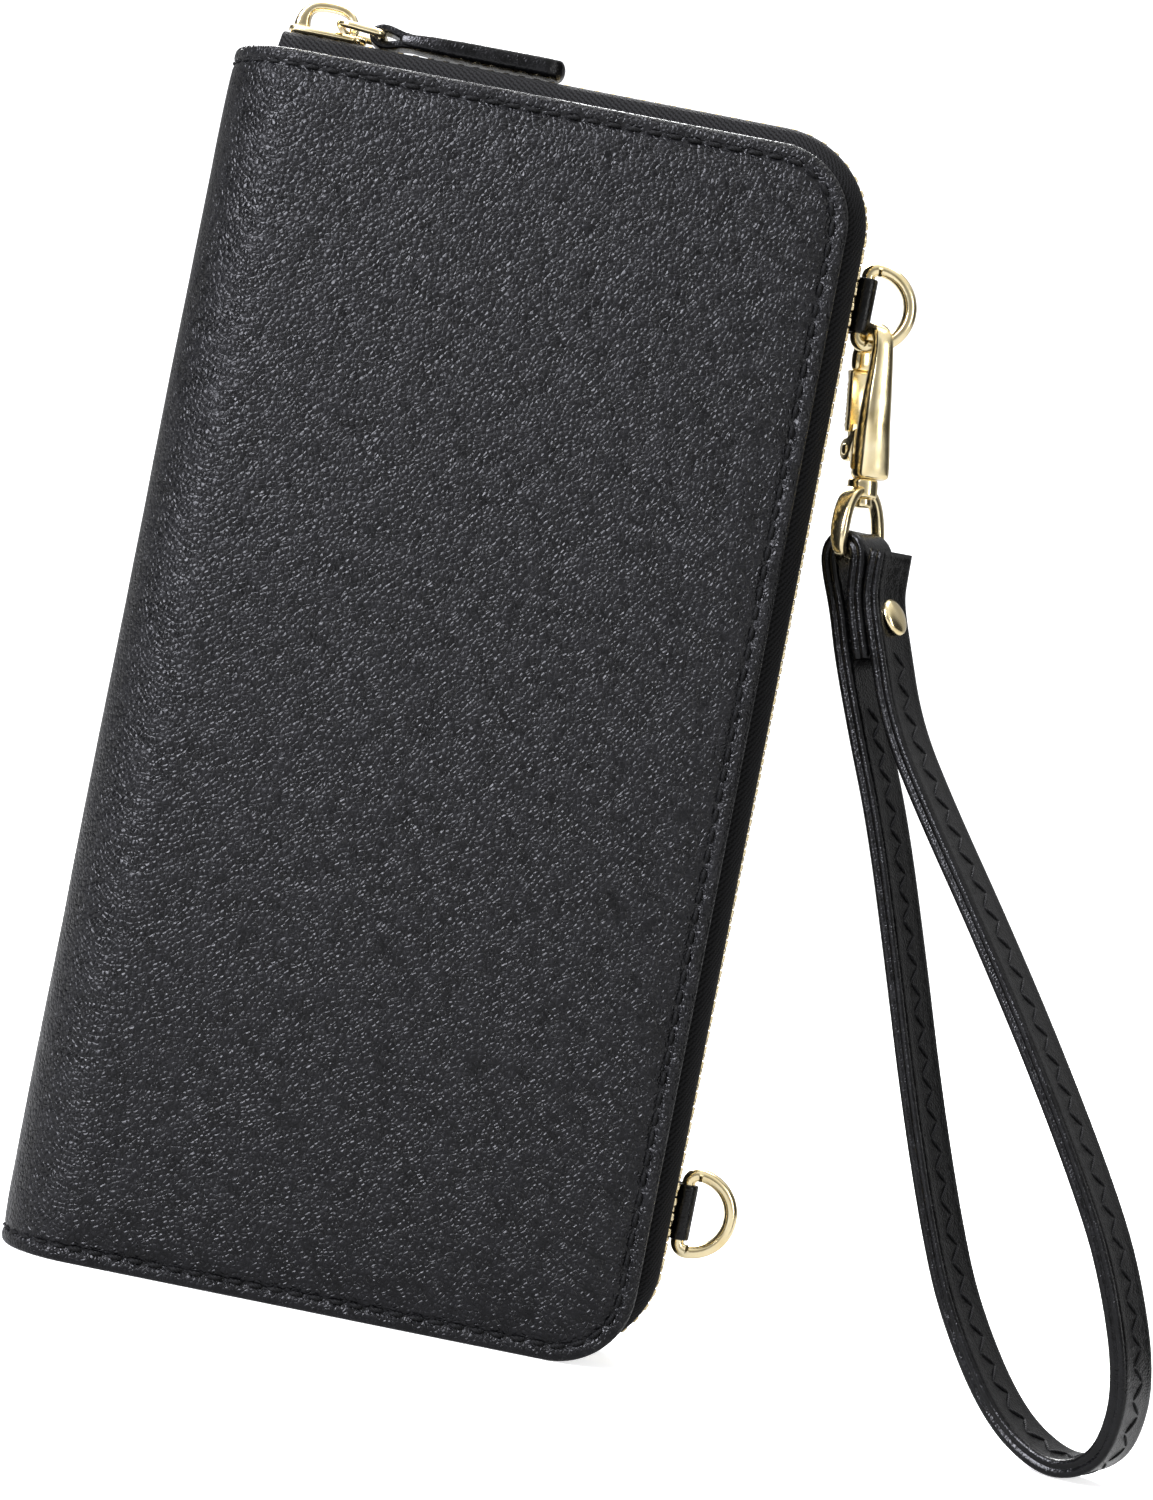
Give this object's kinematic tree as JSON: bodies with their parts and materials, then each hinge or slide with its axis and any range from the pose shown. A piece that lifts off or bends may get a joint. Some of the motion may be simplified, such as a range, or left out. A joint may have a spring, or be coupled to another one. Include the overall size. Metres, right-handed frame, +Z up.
{
  "type": "wristlet wallet",
  "caption": "Tall zip-around wallet with a rounded spine, side D-rings and a looped leather wrist strap on a swivel snap hook.",
  "frame": {"origin": "foot of the rear face, half-way between the spine and the free edge of the cover", "axes": "+X from the spine to the zip side, +Y out of the rear face, +Z up the long side"},
  "size_m": [0.1945, 0.0483, 0.2149],
  "materials": {
    "black_leather": "pebble grain, semi matt",
    "pull_leather": "smooth",
    "board": "grey board",
    "lining_cloth": "woven",
    "zip_cloth": "twill tape",
    "gold_metal": "polished",
    "zip_metal": "polished"
  },
  "bodies": {
    "rear_half": {"rear_cover_leather": "black_leather", "rear_board": "board", "rear_lining": "lining_cloth", "rear_card_slot_1": "black_leather", "rear_card_slot_2": "black_leather", "rear_card_slot_3": "black_leather", "rear_card_slot_4": "black_leather", "rear_zip_tape": "zip_cloth", "rear_zip_teeth": "zip_metal", "d_ring_tab_upper": "black_leather", "d_ring_tab_lower": "black_leather"},
    "front_half": {"front_cover_leather": "black_leather", "front_board": "board", "front_lining": "lining_cloth", "front_card_slot_1": "black_leather", "front_card_slot_2": "black_leather", "front_card_slot_3": "black_leather", "front_card_slot_4": "black_leather", "front_zip_tape": "zip_cloth", "front_zip_teeth": "zip_metal"},
    "coin_leaf": {"coin_pocket": "lining_cloth", "coin_tape_rear": "zip_cloth", "coin_tape_front": "zip_cloth", "coin_zip_teeth": "zip_metal"},
    "coin_slider": {"coin_slider": "gold_metal"},
    "coin_pull": {"coin_pull": "gold_metal"},
    "zip_slider": {"zip_slider": "gold_metal"},
    "pull_link": {"pull_link": "gold_metal"},
    "pull_tab": {"pull_tab": "pull_leather"},
    "d_ring_upper": {"d_ring_upper": "gold_metal"},
    "d_ring_lower": {"d_ring_lower": "gold_metal"},
    "clasp_hook": {"clasp_hook": "gold_metal", "clasp_gate_pin": "gold_metal"},
    "clasp_gate": {"clasp_gate": "gold_metal"},
    "clasp_eye": {"clasp_eye": "gold_metal"},
    "wrist_strap": {"wrist_strap": "black_leather", "strap_rivet": "gold_metal", "strap_rivet_cap": "gold_metal"}
  },
  "joints": [
    {"name": "cover_open", "type": "hinge", "parent": "rear_half", "child": "front_half", "pos_m": [-0.0535, -0.013, 0], "axis": [0, 0, -1], "range_deg": [0, 170]},
    {"name": "leaf_turn", "type": "hinge", "parent": "rear_half", "child": "coin_leaf", "pos_m": [-0.0535, -0.013, 0], "axis": [0, 0, -1], "range_deg": [0, 85]},
    {"name": "coin_zip_run", "type": "slide", "parent": "coin_leaf", "child": "coin_slider", "axis": [0, 0, -1], "range_m": [0, 0.15]},
    {"name": "coin_pull_swing", "type": "hinge", "parent": "coin_slider", "child": "coin_pull", "pos_m": [0.0496, -0.013, 0.1881], "axis": [0, 1, 0], "range_deg": [-12, 0]},
    {"name": "zip_run", "type": "slide", "parent": "rear_half", "child": "zip_slider", "axis": [1, 0, 0], "range_m": [0, 0.07]},
    {"name": "link_tilt", "type": "hinge", "parent": "zip_slider", "child": "pull_link", "pos_m": [-0.0368, -0.013, 0.2109], "axis": [0, -1, 0], "range_deg": [0, 60]},
    {"name": "pull_tilt", "type": "hinge", "parent": "pull_link", "child": "pull_tab", "pos_m": [-0.0294, -0.013, 0.2109], "axis": [0, -1, 0], "range_deg": [0, 60]},
    {"name": "upper_ring_swing", "type": "hinge", "parent": "rear_half", "child": "d_ring_upper", "pos_m": [0.0588, -0.008, 0.1833], "axis": [0, 0, 1], "range_deg": [-10, 20]},
    {"name": "lower_ring_swing", "type": "hinge", "parent": "rear_half", "child": "d_ring_lower", "pos_m": [0.0588, -0.008, 0.0265], "axis": [0, 0, 1], "range_deg": [-80, 80]},
    {"name": "clasp_swing", "type": "hinge", "parent": "d_ring_upper", "child": "clasp_hook", "pos_m": [0.0626, -0.008, 0.1767], "axis": [1, 0, 0], "range_deg": [-10, 7]},
    {"name": "gate_press", "type": "hinge", "parent": "clasp_hook", "child": "clasp_gate", "pos_m": [0.06391, -0.00628, 0.15933], "axis": [0.8997, 0.4226, 0.1089], "range_deg": [0, 11], "stiffness_Nm_per_rad": 0.02},
    {"name": "eye_swivel", "type": "hinge", "parent": "clasp_hook", "child": "clasp_eye", "pos_m": [0.0626, -0.008, 0.1768], "axis": [0.1201, 0, -0.9928], "range_deg": [-20, 20]},
    {"name": "strap_swing", "type": "hinge", "parent": "clasp_eye", "child": "wrist_strap", "pos_m": [0.06688, -0.008, 0.14146], "axis": [0.5359, 0.8418, 0.0648], "range_deg": [-10, 20]}
  ],
  "couplings": [
    {"joint": "leaf_turn", "follows": "cover_open", "ratio": 0.5}
  ]
}
